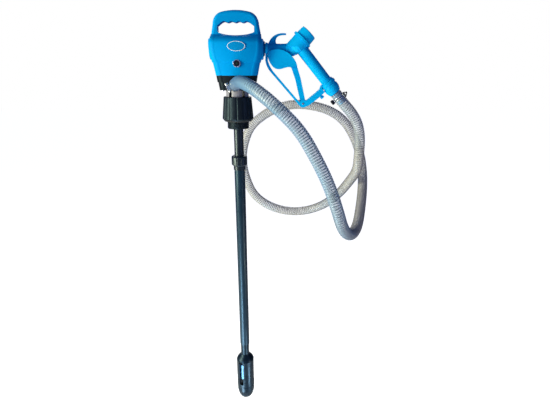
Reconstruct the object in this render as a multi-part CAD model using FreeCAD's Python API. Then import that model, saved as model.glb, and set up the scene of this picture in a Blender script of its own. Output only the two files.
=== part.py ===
"""Battery drum barrel pump with a telescopic tube, a clear hose and a trigger nozzle.

Millimetres. +Z is up the tube, the front faces -Y, and the origin is on the tube's axis at the seat plane
of the bung nut, where the pump rests on the drum. Each function below makes one sub-part, and the table at
the end writes each one to parts/NODE.step.
"""

import FreeCAD, Part
import math
import os

V = FreeCAD.Vector
X_AXIS = V(1, 0, 0)
Y_AXIS = V(0, 1, 0)
Z_AXIS = V(0, 0, 1)

# ---- driving dimensions -------------------------------------------------------------------------------
FIT = 0.05                 # radial clearance of a running fit
FREE = 0.35                # clearance between curved faces of different bodies
WALL = 3.0                 # moulded housing wall

HEAD_X = 1.5               # the head's middle stands this far towards the nozzle from the tube's axis
HEAD_BOTTOM = 121.0
HEAD_WAIST = 153.0         # the small step above the tapered lower part
HEAD_SHOULDER = 199.0
HEAD_CORNER = 17.0
FRONT_BULGE = 5.0
WAIST_WIDE = 62.0          # half width at the waist
WAIST_DEEP = 50.0          # half depth at the waist
SIDE_DRUM_R = 26.0         # the round boss on each side of the head
SIDE_DRUM_WIDE = 70.6
HANDLE_TOP = 279.5
HANDLE_ROOT = 205.0
HANDLE_DEEP = 15.5         # half depth of the handle bar
OPENING_LOW = 218.5
OPENING_HIGH = 251.2
OPENING_WIDE = 47.5        # half width of the finger opening
SCALLOP_PITCH = 19.5
SCALLOP_DEPTH = 1.4

FACE_X = 5.0               # middle of the badge and the button
BADGE_Z = 192.0
BADGE_WIDE = 23.3
BADGE_HIGH = 12.4
BUTTON_Z = 151.0
BUTTON_R = 7.4
BEZEL_R = 9.8
BUTTON_FACE = -WAIST_DEEP - 0.2
BEZEL_SEAT = BUTTON_FACE + 2.0

BASE_STEP = 104.0
BASE_BOTTOM = 83.5
SEAL_FLOOR = 104.0         # the wet chamber's ceiling
MOTOR_R = 15.0
MOTOR_LOW = 124.0
MOTOR_HIGH = 178.0

NECK_R = 30.5
NECK_FINGERS = 5
NUT_TOP = 66.0
NUT_LOW = 3.5
NUT_TOP_R = 38.0
NUT_LOW_R = 43.0
NUT_FLUTES = 14
THREAD_R = 29.8            # G2 pipe thread, 59.6 mm over its crests
THREAD_LENGTH = 20.0
THREAD_RELIEF_R = 28.6     # the undercut that the gasket sits in
THREAD_TOP = 0.0

UPPER_TUBE_R = 13.5
UPPER_TUBE_BORE = 11.5
UPPER_TUBE_LOW = -440.0
LOWER_TUBE_R = 15.5
LOWER_TUBE_BORE = 13.9
LOWER_TUBE_HIGH = -112.0
LOWER_TUBE_LOW = -745.0
LOCK_HIGH = -98.0
LOCK_LOW = -127.0
LOCK_R = 22.5
RING_LOW = -139.0
RING_R = 17.0

HEX_FLATS = 6.0
SHAFT_R = 5.5
SHAFT_HIGH = -150.0
SHAFT_LOW = -846.0
HEX_SOCKET_LOW = -505.0

FOOT_NECK_LOW = -784.0
FOOT_FLARE_LOW = -809.0
FOOT_R = 29.5
FOOT_WALL = 2.7
FOOT_LOW = -912.0
FOOT_END = -965.0
WINDOWS = 3
WINDOW_HIGH = -808.0
WINDOW_LOW = -903.0
WINDOW_ANGLE = 30.0
WINDOW_START = -90.0 - 27.0
SLEEVE_R = 21.5
SLEEVE_BORE = 19.5
SLEEVE_HIGH = -826.0
SLEEVE_LOW = -884.0
IMPELLER_R = 18.5

HOSE_R = 15.0
HOSE_BORE = 12.5
ELBOW = V(-3, -58, 95)     # where the outlet turns
ELBOW_R = 14.0
OUTLET_WAY = V(0.21, -0.96, 0.185).normalize()
BARB_R = 12.4
HOSE_START = 14.5          # along the outlet from the elbow's centre
SPIGOT_LENGTH = 39.0
OUTLET_CLAMP_TURN = 216.0  # where its screw lies round the hose

SPOUT_Z = 188.0
SPOUT_R = 12.0
SPOUT_TIP = 26.0
SPOUT_END = 131.0
HOLDER_R = 16.0
HOLDER_START = 20.0
HOLDER_FLANGE_R = 20.5
HOLDER_FLANGE = (68.5, 76.0)
CAP_TOP = V(190, 0, 226)   # outer end of the valve cap
VALVE_WAY = V(-0.687, 0, -0.726).normalize()
GRIP_TOP = V(178, 0, 181)
GRIP_WAY = V(0.645, 0, -0.764).normalize()
GRIP_R = 14.6
GRIP_LENGTH = 101.5
INLET_LENGTH = 137.0       # grip top to the end of the inlet collar
NOZZLE_HOSE_END = 139.0
CLAMP_AT = 151.0
WING_TURN = 28.0           # the clamp's wing stands this far round to the front
NOZZLE_BARB_END = 173.0
STEM_END = 110.0           # valve stem's end, from the cap's outer end
LEVER_PIVOT = V(179, 0, 47)
LEVER_PIN_R = 2.5
LEVER_CHEEK = 18.0         # half width over the trigger's cheeks
LEVER_INSIDE = 15.6        # half width between them
LEVER_ARM = 6.0            # half width of the arm
GUARD_HALF = 9.0           # half width of the guard strip

# The hose's route: straight runs between these points, with an arc at each one.
HOSE_ROUTE_HEAD = [
    (24, -165, 110), (50, -204, 101), (84, -231, 78), (121, -244, 47), (162, -240, 4),
    (198, -243, -57), (227, -249, -114), (248, -256, -173), (268, -236, -233), (298, -186, -270),
    (330, -110, -275), (356, -16, -251), (377, 69, -221), (388, 133, -183), (386, 174, -136),
    (369, 198, -83), (335, 206, -28), (287, 214, 6), (228, 222, 22), (170, 222, 27), (115, 228, 16),
    (66, 238, -9), (20, 239, -47), (-4, 240, -104), (-13, 240, -166), (0, 230, -229), (26, 228, -290),
    (79, 227, -331), (146, 229, -353), (215, 226, -350), (276, 199, -317), (316, 140, -258),
    (337, 84, -199), (350, 37, -152),
]
HOSE_CUT_LOW = (347, 15, -105)
HOSE_CUT_TOP = (347, 15, -51)
HOSE_ROUTE_NOZZLE = [(336, 10, -8), (314, 2, 24)]
HOSE_FIRST_RUN = 48.0
HOSE_LAST_RUN = 36.0


# ---- helpers ------------------------------------------------------------------------------------------
def along(shape, base, direction):
    """Stands a shape made along +Z at base, pointing in direction."""
    placed = shape.copy()
    stand = FreeCAD.Placement(base, FreeCAD.Rotation(Z_AXIS, direction))
    placed.Placement = stand.multiply(shape.Placement)
    return placed


def rod(r, low, high):
    return Part.makeCylinder(r, high - low, V(0, 0, low))


def ring(r, bore, low, high):
    return rod(r, low, high).cut(rod(bore, low - 1, high + 1))


def block(low, high):
    return Part.makeBox(high[0] - low[0], high[1] - low[1], high[2] - low[2], V(*low))


def turned(outline):
    """Turns a closed outline of (radius, height) points about Z."""
    wire = Part.makePolygon([V(r, 0, z) for r, z in outline + outline[:1]])
    return Part.Face(wire).revolve(V(0, 0, 0), Z_AXIS, 360)


def joined(shapes):
    """One clean solid from overlapping ones."""
    return shapes[0].fuse(shapes[1:]).removeSplitter()


def plate(edges, half):
    """A plate of a closed outline in the XZ plane, as thick as half each side of Y = 0."""
    face = Part.Face(Part.Wire(Part.__sortEdges__(edges)))
    face.translate(V(0, -half, 0))
    return face.extrude(V(0, 2 * half, 0))


def lines(points):
    """Straight edges through (x, z) points in the XZ plane."""
    at = [V(x, 0, z) for x, z in points]
    return [Part.LineSegment(a, b).toShape() for a, b in zip(at, at[1:])]


def curve(points):
    """One smooth edge through (x, z) points in the XZ plane."""
    spline = Part.BSplineCurve()
    spline.interpolate([V(x, 0, z) for x, z in points])
    return spline.toShape()


def arc(start, middle, end):
    return Part.Arc(V(start[0], 0, start[1]), V(middle[0], 0, middle[1]), V(end[0], 0, end[1])).toShape()


def around(shape, count, start=0.0):
    """Copies of a shape evenly about Z."""
    copies = []
    for i in range(count):
        turned_copy = shape.copy()
        turned_copy.rotate(V(0, 0, 0), Z_AXIS, start + 360.0 * i / count)
        copies.append(turned_copy)
    return copies


def hexagon(flats, low, high):
    corner = flats / math.sqrt(3)
    points = [V(corner * math.cos(math.radians(60 * i)), corner * math.sin(math.radians(60 * i)), low)
              for i in range(7)]
    return Part.Face(Part.makePolygon(points)).extrude(V(0, 0, high - low))


# ---- pump head ----------------------------------------------------------------------------------------
def head_section(z, wide, deep, inset=0.0):
    """A level outline of the head: straight sides, rounded corners, gently bulged front and back."""
    w = wide - inset
    d = deep - inset
    edge = d - FRONT_BULGE
    c = min(HEAD_CORNER - inset, edge - 1)
    k = c * (1 - math.sqrt(0.5))

    def at(x, y):
        return V(HEAD_X + x, y, z)

    parts = [
        Part.Arc(at(-w + c, -edge), at(0, -d), at(w - c, -edge)),
        Part.Arc(at(w - c, -edge), at(w - k, -edge + k), at(w, -edge + c)),
        Part.LineSegment(at(w, -edge + c), at(w, edge - c)),
        Part.Arc(at(w, edge - c), at(w - k, edge - k), at(w - c, edge)),
        Part.Arc(at(w - c, edge), at(0, d), at(-w + c, edge)),
        Part.Arc(at(-w + c, edge), at(-w + k, edge - k), at(-w, edge - c)),
        Part.LineSegment(at(-w, edge - c), at(-w, -edge + c)),
        Part.Arc(at(-w, -edge + c), at(-w + k, -edge + k), at(-w + c, -edge)),
    ]
    return Part.Wire([p.toShape() for p in parts])


def head_loft(levels, inset, straight):
    return Part.makeLoft([head_section(z, wide, deep, inset) for z, wide, deep in levels], True, straight)


def head_body(inset=0.0, low=HEAD_BOTTOM, sloped=True):
    """The head's body below the handle. inset makes the cavity, and a negative one a skin outside it."""
    taper = [(low, 54.5, 44.0), (HEAD_WAIST, 60.6, WAIST_DEEP - 1.2)]
    belly = [(HEAD_WAIST, WAIST_WIDE, WAIST_DEEP), (172.0, 67.2, 52.5), (190.0, 69.8, 53.0),
             (HEAD_SHOULDER, 70.0, 52.4)]
    pieces = [head_loft(taper, inset, True), head_loft(belly, inset, False)]
    if sloped:
        pieces.append(shoulders(inset))
    return joined(pieces)


def shoulders(inset):
    """The front and back flow up to the handle, and at the sides stop in a small ledge."""
    levels = [(HEAD_SHOULDER, 70.0, 52.4), (206.0, 69.9, 50.0), (212.0, 69.8, 43.5), (217.5, 69.7, 32.0),
              (222.5, 69.6, 16.5)]
    side = [(72.0, HEAD_SHOULDER - 1), (72.0, 208.6), (65.2, 211.6), (64.8, 224.0)]
    outline = [(HEAD_X + x, z) for x, z in side] + [(HEAD_X - x, z) for x, z in reversed(side)]
    return head_loft(levels, inset, False).common(plate(lines(outline + outline[:1]), 70.0))


def handle():
    """The carrying handle: a rounded frame with a scalloped finger opening."""
    root = HANDLE_ROOT
    outer = lines([(-59.5, 247), (-64.3, 222), (-64.5, root), (64.5, root), (64.3, 222), (59.5, 247)])
    outer.append(arc((59.5, 247), (52.5, 265.3), (36.5, 275.3)))
    outer.append(arc((36.5, 275.3), (0, HANDLE_TOP), (-36.5, 275.3)))
    outer.append(arc((-36.5, 275.3), (-52.5, 265.3), (-59.5, 247)))
    frame = plate(outer, HANDLE_DEEP)
    rims = [e for e in frame.Edges if abs(abs(e.CenterOfMass.y) - HANDLE_DEEP) < 0.1
            and e.BoundBox.ZMax > root + 1]
    frame = frame.makeFillet(9.0, rims)
    steps = 24
    reach = 1.85 * SCALLOP_PITCH
    wave = []
    for i in range(steps + 1):
        x = -reach + 2 * reach * i / steps
        wave.append((x, OPENING_HIGH - SCALLOP_DEPTH * math.cos(2 * math.pi * x / SCALLOP_PITCH)))
    side = OPENING_WIDE
    low = OPENING_LOW
    hole = [curve(wave)]
    hole += lines([wave[-1], (side, 242), (side, low + 10.5)])
    hole.append(arc((side, low + 10.5), (side - 1.6, low + 8.0), (side - 5, low + 6.6)))
    hole.append(arc((side - 5, low + 6.6), (0, low), (-side + 5, low + 6.6)))
    hole.append(arc((-side + 5, low + 6.6), (-side + 1.6, low + 8.0), (-side, low + 10.5)))
    hole += lines([(-side, low + 10.5), (-side, 242), wave[0]])
    opening = plate(hole, 60.0)
    for shape in (frame, opening):
        shape.translate(V(HEAD_X, 0, 0))
    return frame, opening


def side_drum():
    """One drum right across the head, whose rounded ends are the bosses on its sides."""
    start = V(HEAD_X - SIDE_DRUM_WIDE, 0, SPOUT_Z - 2)
    drum = Part.makeCylinder(SIDE_DRUM_R, 2 * SIDE_DRUM_WIDE, start, X_AXIS)
    return drum.makeFillet(2.5, [e for e in drum.Edges if len(e.Vertexes) == 1])


def head_form():
    frame, opening = handle()
    return joined([head_body(), side_drum(), frame]).cut(opening)


SCREW_SPOTS_LOW = [(HEAD_X - 44.0, 138.0), (HEAD_X + 44.0, 138.0)]
SCREW_SPOTS_HIGH = [(HEAD_X - 55.5, 232.0), (HEAD_X + 55.5, 232.0)]


def across(r, x, z, start, end):
    """A round bar along +Y at x, z."""
    return Part.makeCylinder(r, end - start, V(x, start, z), Y_AXIS)


def housing():
    """The whole hollow head before it is split into two shells."""
    cavity = head_body(WALL, HEAD_BOTTOM - 1, sloped=False)
    bosses = [across(5.0, x, z, -44.0, 44.0) for x, z in SCREW_SPOTS_LOW]
    bosses.append(across(BEZEL_R + 3, FACE_X, BUTTON_Z, -60.0, -42.0))
    shell = head_form().cut(cavity)
    shell = shell.fuse([b.common(head_body()) for b in bosses])
    bore = Part.makeCylinder(HOLDER_R + 0.1, 80, V(HOLDER_START - 0.1, 0, SPOUT_Z), X_AXIS)
    spot_face = Part.makeCylinder(HOLDER_FLANGE_R + 0.1, 20, V(HOLDER_FLANGE[0] - 0.1, 0, SPOUT_Z), X_AXIS)
    shell = shell.cut([bore, spot_face])
    return shell.cut(block((-90, -0.15, 100), (90, 0.15, 300)))


def front_shell():
    half = housing().common(block((-90, -70, 100), (90, 0, 300)))
    cuts = [across(1.95, x, z, -12.0, 1.0) for x, z in SCREW_SPOTS_LOW + SCREW_SPOTS_HIGH]
    cuts.append(across(8.1, FACE_X, BUTTON_Z, -60.0, -30.0))
    cuts.append(across(BEZEL_R + 0.1, FACE_X, BUTTON_Z, -60.0, BEZEL_SEAT))
    return half.cut(cuts)


def rear_shell():
    half = housing().common(block((-90, 0, 100), (90, 70, 300)))
    cuts = [across(2.3, x, z, -1.0, 60.0) for x, z in SCREW_SPOTS_LOW + SCREW_SPOTS_HIGH]
    cuts += [across(4.2, x, z, 40.0, 60.0) for x, z in SCREW_SPOTS_LOW]
    cuts += [across(4.2, x, z, 11.0, 60.0) for x, z in SCREW_SPOTS_HIGH]
    cuts.append(across(6.1, -30, 136, 30.0, 60.0))
    return half.cut(cuts)


def shell_screws():
    screws = []
    for spots, head_low in ((SCREW_SPOTS_LOW, 40.0), (SCREW_SPOTS_HIGH, 11.0)):
        for x, z in spots:
            drive = across(1.4, x, z, head_low + 1.2, head_low + 3.0)
            screws.append(across(1.9, x, z, -11.0, head_low + 0.5)
                          .fuse(across(3.9, x, z, head_low, head_low + 2.6)).cut(drive))
    return Part.makeCompound(screws)


def oval(wide, high, start, end):
    ellipse = Part.Ellipse(V(0, 0, 0), wide, high).toShape()
    face = Part.Face(Part.Wire([ellipse]))
    face.rotate(V(0, 0, 0), X_AXIS, 90)
    face.translate(V(FACE_X, start, BADGE_Z))
    return face.extrude(V(0, end - start, 0))


def badge_plate():
    """A blank oval plate, raised 1.2 mm from the bulged front."""
    skin = head_body(-1.2).cut(head_body(-0.02))
    return skin.common(oval(BADGE_WIDE, BADGE_HIGH, -60, -40))


def button_bezel():
    face = BUTTON_FACE
    rim = across(BEZEL_R, FACE_X, BUTTON_Z, face - 2.2, BEZEL_SEAT)
    rim = rim.makeChamfer(0.8, [e for e in rim.Edges if e.BoundBox.YMax < face - 2.0 and len(e.Vertexes) == 1
                                and e.BoundBox.XMax > FACE_X + BEZEL_R - 0.1])
    thread = across(8.0, FACE_X, BUTTON_Z, face - 0.1, face + 20)
    well = across(BUTTON_R + FREE, FACE_X, BUTTON_Z, face - 3, face + 8)
    return joined([rim, thread]).cut(well)


def power_button():
    face = BUTTON_FACE
    cap = across(BUTTON_R, FACE_X, BUTTON_Z, face - 1.4, face + 4)
    lamp_well = across(1.7, FACE_X, BUTTON_Z, face - 3, face)
    return cap.cut(lamp_well)


def button_lamp():
    return across(1.65, FACE_X, BUTTON_Z, BUTTON_FACE - 1.5, BUTTON_FACE - 0.05)


def battery_pack():
    pack = block((-36, 16.2, 127), (36, 35.5, 190))
    return pack.makeFillet(3.0, pack.Edges)


def control_board():
    return block((-35.0, -20, 147), (-33.4, 16.1, 188))


def charge_socket():
    body = across(6.0, -30, 136, 37.0, 46.5)
    hole = across(3.6, -30, 136, 41.0, 50.0)
    pin = across(1.0, -30, 136, 40.0, 45.0)
    return body.cut(hole).fuse(pin)


def motor_can():
    can = ring(MOTOR_R, MOTOR_R - 1.5, MOTOR_LOW, MOTOR_HIGH)
    ends = [rod(MOTOR_R, MOTOR_LOW, MOTOR_LOW + 2), rod(MOTOR_R, MOTOR_HIGH - 2, MOTOR_HIGH)]
    nose = rod(6.0, MOTOR_LOW - 3, MOTOR_LOW + 2)
    return joined([can, nose] + ends).cut(rod(2.5 + FIT, 100, MOTOR_HIGH + 5))


def motor_rotor():
    shaft = rod(2.5, 112, MOTOR_HIGH + 2)
    armature = rod(10.0, MOTOR_LOW + 8, MOTOR_HIGH - 8)
    return shaft.fuse(armature)


def shaft_coupler():
    """Joins the motor's shaft to the hexagonal drive shaft."""
    sleeve = rod(6.5, 106.5, 119.5)
    return sleeve.cut([rod(2.51, 112, 130), hexagon(HEX_FLATS + 0.04, 100, 112)])


# ---- base, outlet and bung adapter --------------------------------------------------------------------
def base_form():
    upper = [head_section(BASE_STEP, 51.4, 41.6), head_section(HEAD_BOTTOM - FIT, 54.0, 43.4)]
    lower = [head_section(BASE_BOTTOM, 46.6, 37.6), head_section(BASE_STEP, 49.6, 39.8)]
    return joined([Part.makeLoft(upper, True, True), Part.makeLoft(lower, True, True)])


def base_housing():
    """The black base: a dry pocket for the coupler, a seal, and the wet chamber that feeds the outlet."""
    front = ELBOW.y
    port = Part.makeCylinder(8.0, -front - 5, V(ELBOW.x, front + 5, ELBOW.z), Y_AXIS)
    boss = Part.makeCylinder(ELBOW_R + 2, 22, V(ELBOW.x, -44, ELBOW.z), Y_AXIS)
    boss = boss.common(block((-40, -44, BASE_BOTTOM), (40, 0, 130)))
    cuts = [
        rod(17.0, 110.0, 121.0),
        rod(8.0, SEAL_FLOOR, 111.0),
        rod(UPPER_TUBE_R + FIT, 80.0, SEAL_FLOOR),
        port,
        Part.makeCylinder(10.05, 12, V(ELBOW.x, -46, ELBOW.z), Y_AXIS),
    ]
    pocket = [head_section(112.0, 47.0, 36.0), head_section(121.0, 49.0, 38.0)]
    ribs = block((-60, -1.5, 111), (60, 1.5, 119.0)).fuse(rod(20.0, 111.0, 119.0))
    hollow = Part.makeLoft(pocket, True, True).cut(ribs)
    return joined([base_form(), boss]).cut(cuts + [hollow])


def base_screws():
    spots = [(-36.0, -22.0), (36.0, -22.0), (-36.0, 22.0), (36.0, 22.0)]
    heads = []
    for x, y in spots:
        screw = Part.makeCylinder(3.4, 2.0, V(x, y, BASE_BOTTOM - 2.05))
        heads.append(screw.cut(Part.makeCylinder(1.3, 1.5, V(x, y, BASE_BOTTOM - 3))))
    return Part.makeCompound(heads)


def shaft_seal():
    return ring(7.95, 3.95, SEAL_FLOOR + 0.1, 106.2)


def outlet_elbow():
    """Boss into the base, a ball where it turns, and a barbed spigot inside the hose."""
    neck = Part.makeCylinder(10.0, -ELBOW.y - 35, V(ELBOW.x, ELBOW.y, ELBOW.z), Y_AXIS)
    collar = Part.makeCylinder(12.6, 14.0, V(ELBOW.x, ELBOW.y, ELBOW.z), Y_AXIS)
    ball = Part.makeSphere(12.6, ELBOW)
    flange = along(rod(ELBOW_R, 9.0, 12.0), ELBOW, OUTLET_WAY)
    spigot = along(rod(BARB_R - 0.6, 0, SPIGOT_LENGTH), ELBOW, OUTLET_WAY)
    barbs = [along(Part.makeCone(BARB_R, BARB_R - 1.2, 7.0, V(0, 0, HOSE_START + 4 + 7 * i)), ELBOW,
                   OUTLET_WAY) for i in range(3)]
    ways = [Part.makeCylinder(8.0, 60, V(ELBOW.x, ELBOW.y, ELBOW.z), Y_AXIS),
            Part.makeSphere(8.0, ELBOW), along(rod(8.0, 0, 60), ELBOW, OUTLET_WAY)]
    return joined([neck, collar, ball, flange, spigot] + barbs).cut(ways)


def worm_band(base, direction, start, side):
    """A worm clamp: its band, and the housing of its screw on one side."""
    band = along(ring(HOSE_R + 0.9, HOSE_R + FIT, start, start + 10), base, direction)
    house = Part.makeBox(7.6, 12, 11, V(HOSE_R + 0.4, -6, start - 0.5))
    house = house.cut(Part.makeCylinder(2.5, 30, V(HOSE_R + 4.5, -15, start + 5), Y_AXIS))
    house.rotate(V(0, 0, 0), Z_AXIS, side)
    return band.fuse(along(house, base, direction))


def worm_screw(base, direction, start, side):
    screw = Part.makeCylinder(2.4, 18, V(HOSE_R + 4.5, -8, start + 5), Y_AXIS)
    head = Part.makeCylinder(4.2, 5, V(HOSE_R + 4.5, -13, start + 5), Y_AXIS)
    slot = Part.makeBox(9, 1.2, 1.0, V(HOSE_R, -13.1, start + 4.5))
    both = screw.fuse(head).cut(slot)
    both.rotate(V(0, 0, 0), Z_AXIS, side)
    return along(both, base, direction)


def neck_collar():
    """The slotted neck under the base, which the bung adapter turns on."""
    tube = ring(NECK_R, NECK_R - 4.5, 46.0, BASE_BOTTOM - FIT)
    slot = block((0, -4.6, 56.0), (60, 4.6, BASE_BOTTOM + 1))
    web = ring(NECK_R - 4.4, UPPER_TUBE_R + FIT, 46.0, 52.0)
    return tube.cut(around(slot, NECK_FINGERS, -90 + 2 + 36)).fuse(web).removeSplitter()


def bung_nut():
    body = turned([(NECK_R + FREE, NUT_LOW), (NUT_LOW_R - 3, NUT_LOW), (NUT_LOW_R, NUT_LOW + 4),
                   (NUT_TOP_R, NUT_TOP - 1.5), (NUT_TOP_R - 1.5, NUT_TOP), (NECK_R + FREE, NUT_TOP)])
    lean = math.degrees(math.atan2(NUT_LOW_R - NUT_TOP_R, NUT_TOP - NUT_LOW))
    flute = Part.makeCylinder(5.2, 90, V(0, 0, -6))
    flute.rotate(V(0, 0, 0), Y_AXIS, -lean)
    flute.translate(V(NUT_LOW_R + 3.6, 0, NUT_LOW + 9))
    return body.cut(around(flute, NUT_FLUTES, 360.0 / NUT_FLUTES / 2))


def bung_thread():
    """The threaded collar that screws into the drum, fixed inside the nut."""
    return turned([(21.0, -THREAD_LENGTH), (THREAD_R - 1.5, -THREAD_LENGTH), (THREAD_R, -THREAD_LENGTH + 1.5),
                   (THREAD_R, THREAD_TOP), (THREAD_RELIEF_R, THREAD_TOP), (THREAD_RELIEF_R, NUT_LOW),
                   (NECK_R + FREE, NUT_LOW), (NECK_R + FREE, NUT_LOW + 30.0), (21.0, NUT_LOW + 30.0)])


def bung_gasket():
    return turned([(THREAD_RELIEF_R + FIT, 0), (NUT_LOW_R - 6, 0), (NUT_LOW_R - 3, NUT_LOW - FIT),
                   (THREAD_RELIEF_R + FIT, NUT_LOW - FIT)])


# ---- telescopic tube, shafts and foot -----------------------------------------------------------------
def upper_tube():
    tube = ring(UPPER_TUBE_R, UPPER_TUBE_BORE, UPPER_TUBE_LOW, 86.0)
    groove = ring(UPPER_TUBE_R + 1, UPPER_TUBE_R - 1.0, UPPER_TUBE_LOW + 8, UPPER_TUBE_LOW + 11)
    return tube.cut(groove)


def tube_seal():
    return ring(LOWER_TUBE_BORE - FIT, UPPER_TUBE_R - 0.98, UPPER_TUBE_LOW + 8.1, UPPER_TUBE_LOW + 10.9)


def lock_collar():
    """The twist collar that grips the upper tube."""
    body = turned([(UPPER_TUBE_R + FREE, LOCK_HIGH), (LOCK_R - 3, LOCK_HIGH), (LOCK_R, LOCK_HIGH - 3.5),
                   (LOCK_R, LOCK_LOW + 4), (LOCK_R - 3.5, LOCK_LOW), (LOWER_TUBE_R + FREE, LOCK_LOW),
                   (LOWER_TUBE_R + FREE, -101.0), (UPPER_TUBE_R + FREE, -101.0)])
    groove = Part.makeCylinder(2.0, 40, V(LOCK_R + 1.3, 0, LOCK_LOW - 5))
    return body.cut(around(groove, 12, 15.0))


def tube_collet():
    """The split gripping ring inside the lock collar, at the top of the lower tube."""
    return ring(LOWER_TUBE_R, UPPER_TUBE_R + FREE, -111.9, -101.5).cut(block((0, -1.5, -120), (30, 1.5, -90)))


def lock_ring():
    return ring(RING_R, LOWER_TUBE_R + 0.02, RING_LOW, LOCK_LOW - 0.3)


def lower_tube():
    return ring(LOWER_TUBE_R, LOWER_TUBE_BORE, LOWER_TUBE_LOW, LOWER_TUBE_HIGH)


def upper_shaft():
    return hexagon(HEX_FLATS, UPPER_TUBE_LOW, 111.9)


def lower_shaft():
    tube = rod(SHAFT_R, SHAFT_LOW, SHAFT_HIGH)
    return tube.cut(hexagon(HEX_FLATS + 0.7, HEX_SOCKET_LOW, SHAFT_HIGH + 1))


def foot_bearing():
    """A three-armed bush that centres the shaft in the foot's neck."""
    hub = rod(8.0, -780, -768)
    arm = block((6, -1.5, -780), (10.85, 1.5, -768))
    return joined([hub] + around(arm, 3)).cut(rod(SHAFT_R + FIT, -800, -750))


def impeller():
    bore = SHAFT_R + 0.02
    low = SHAFT_LOW
    high = SHAFT_LOW + 28
    hub = turned([(bore, low), (9.0, low), (9.0, high - 6), (7.0, high), (bore, high)])
    blade = block((7.5, -0.9, -12), (IMPELLER_R, 0.9, 10))
    blade.rotate(V(0, 0, 0), X_AXIS, 38)
    blade.translate(V(0, 0, low + 13))
    shell = ring(IMPELLER_R, 7.2, low, high)
    return joined([hub] + [b.common(shell) for b in around(blade, 5)])


def foot_strainer():
    """The foot: a spigot in the tube, a flared shoulder and a barrel with tall windows."""
    inner = FOOT_R - FOOT_WALL
    spigot = ring(LOWER_TUBE_BORE - FIT, 11.0, LOWER_TUBE_LOW - 1, LOWER_TUBE_LOW + 30)
    neck = ring(13.85, 11.0, FOOT_NECK_LOW, LOWER_TUBE_LOW - 0.02)
    flare_out = Part.BezierCurve()
    flare_out.setPoles([V(13.85, 0, FOOT_NECK_LOW), V(15.0, 0, FOOT_NECK_LOW - 8),
                        V(25.5, 0, FOOT_FLARE_LOW + 13), V(FOOT_R, 0, FOOT_FLARE_LOW)])
    flare_in = Part.BezierCurve()
    flare_in.setPoles([V(11, 0, FOOT_NECK_LOW), V(12.4, 0, FOOT_NECK_LOW - 9),
                       V(22.5, 0, FOOT_FLARE_LOW + 11), V(inner, 0, FOOT_FLARE_LOW - 1)])
    barrel = lines([(FOOT_R, FOOT_FLARE_LOW), (FOOT_R, FOOT_LOW), (inner, FOOT_LOW),
                    (inner, FOOT_FLARE_LOW - 1)])
    top = lines([(11, FOOT_NECK_LOW), (13.85, FOOT_NECK_LOW)])
    rim = top + [flare_out.toShape(), flare_in.toShape()] + barrel
    shell = Part.Face(Part.Wire(Part.__sortEdges__(rim))).revolve(V(0, 0, 0), Z_AXIS, 360)
    wide = FOOT_R * math.sin(math.radians(WINDOW_ANGLE / 2))
    window = block((10, -wide, WINDOW_LOW), (40, wide, WINDOW_HIGH))
    window = window.makeFillet(4.0, [e for e in window.Edges if abs(e.tangentAt(e.FirstParameter).x) > 0.9])
    return joined([shell, neck, spigot]).cut(around(window, WINDOWS, WINDOW_START))


def foot_sleeve():
    """The bright sleeve round the impeller, held by a rib behind each pillar between the windows."""
    rib = block((SLEEVE_R - 0.5, -1.0, SLEEVE_LOW), (FOOT_R - FOOT_WALL - FIT, 1.0, SLEEVE_HIGH))
    ribs = around(rib, WINDOWS, WINDOW_START + 180.0 / WINDOWS)
    return joined([ring(SLEEVE_R, SLEEVE_BORE, SLEEVE_LOW, SLEEVE_HIGH)] + ribs)


def foot_cap():
    inner = FOOT_R - FOOT_WALL
    return turned([(0, FOOT_LOW + 6), (inner - FIT, FOOT_LOW + 6), (inner - FIT, FOOT_LOW - FIT),
                   (FOOT_R - 1.2, FOOT_LOW - FIT), (FOOT_R - 1.2, FOOT_LOW - 2), (FOOT_R - 0.2, FOOT_LOW - 3),
                   (FOOT_R - 0.6, -934), (FOOT_R - 4.0, -951), (20, -962), (16.5, FOOT_END), (8, FOOT_END),
                   (8, FOOT_END + 4), (0, FOOT_END + 4)])


# ---- nozzle -------------------------------------------------------------------------------------------
def nozzle_holder():
    """The socket in the head's side that the spout parks in."""
    tube = Part.makeCylinder(HOLDER_R, HOLDER_FLANGE[0] - HOLDER_START, V(HOLDER_START, 0, SPOUT_Z), X_AXIS)
    flange = Part.makeCylinder(HOLDER_FLANGE_R, HOLDER_FLANGE[1] - HOLDER_FLANGE[0],
                               V(HOLDER_FLANGE[0], 0, SPOUT_Z), X_AXIS)
    flange = flange.makeChamfer(3.6, [e for e in flange.Edges if e.BoundBox.XMin > HOLDER_FLANGE[1] - 0.1])
    bore = Part.makeCylinder(SPOUT_R + 0.6, 80, V(22.5, 0, SPOUT_Z), X_AXIS)
    return joined([tube, flange]).cut(bore)


def nozzle_spout():
    """The spout with the hook that hangs the nozzle on a drum's rim."""
    tube = Part.makeCylinder(SPOUT_R, SPOUT_END - SPOUT_TIP, V(SPOUT_TIP, 0, SPOUT_Z), X_AXIS)
    tip = [e for e in tube.Edges if e.BoundBox.XMax < SPOUT_TIP + 0.1]
    tube = tube.makeChamfer(1.5, tip)
    bore = Part.makeCylinder(SPOUT_R - 2.2, 200, V(0, 0, SPOUT_Z), X_AXIS)
    top = SPOUT_Z + SPOUT_R - 1.5
    back = curve([(84.5, top), (90.5, 210), (101, 219.6), (111.5, 223.8), (131.6, 224.6)])
    front = curve([(131.6, 220.8), (117, 219.8), (108.2, 215.6), (104.8, 208.8), (107.4, top)])
    edges = [back, front] + lines([(131.6, 224.6), (131.6, 220.8)]) + lines([(107.4, top), (84.5, top)])
    return joined([tube, plate(edges, 4.0)]).cut(bore)


def valve_axis(r, start, end):
    """A round bar on the valve's axis, measured from the cap's outer end."""
    return along(rod(r, start, end), CAP_TOP, VALVE_WAY)


def grip_axis(r, start, end):
    return along(rod(r, start, end), GRIP_TOP, GRIP_WAY)


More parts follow.
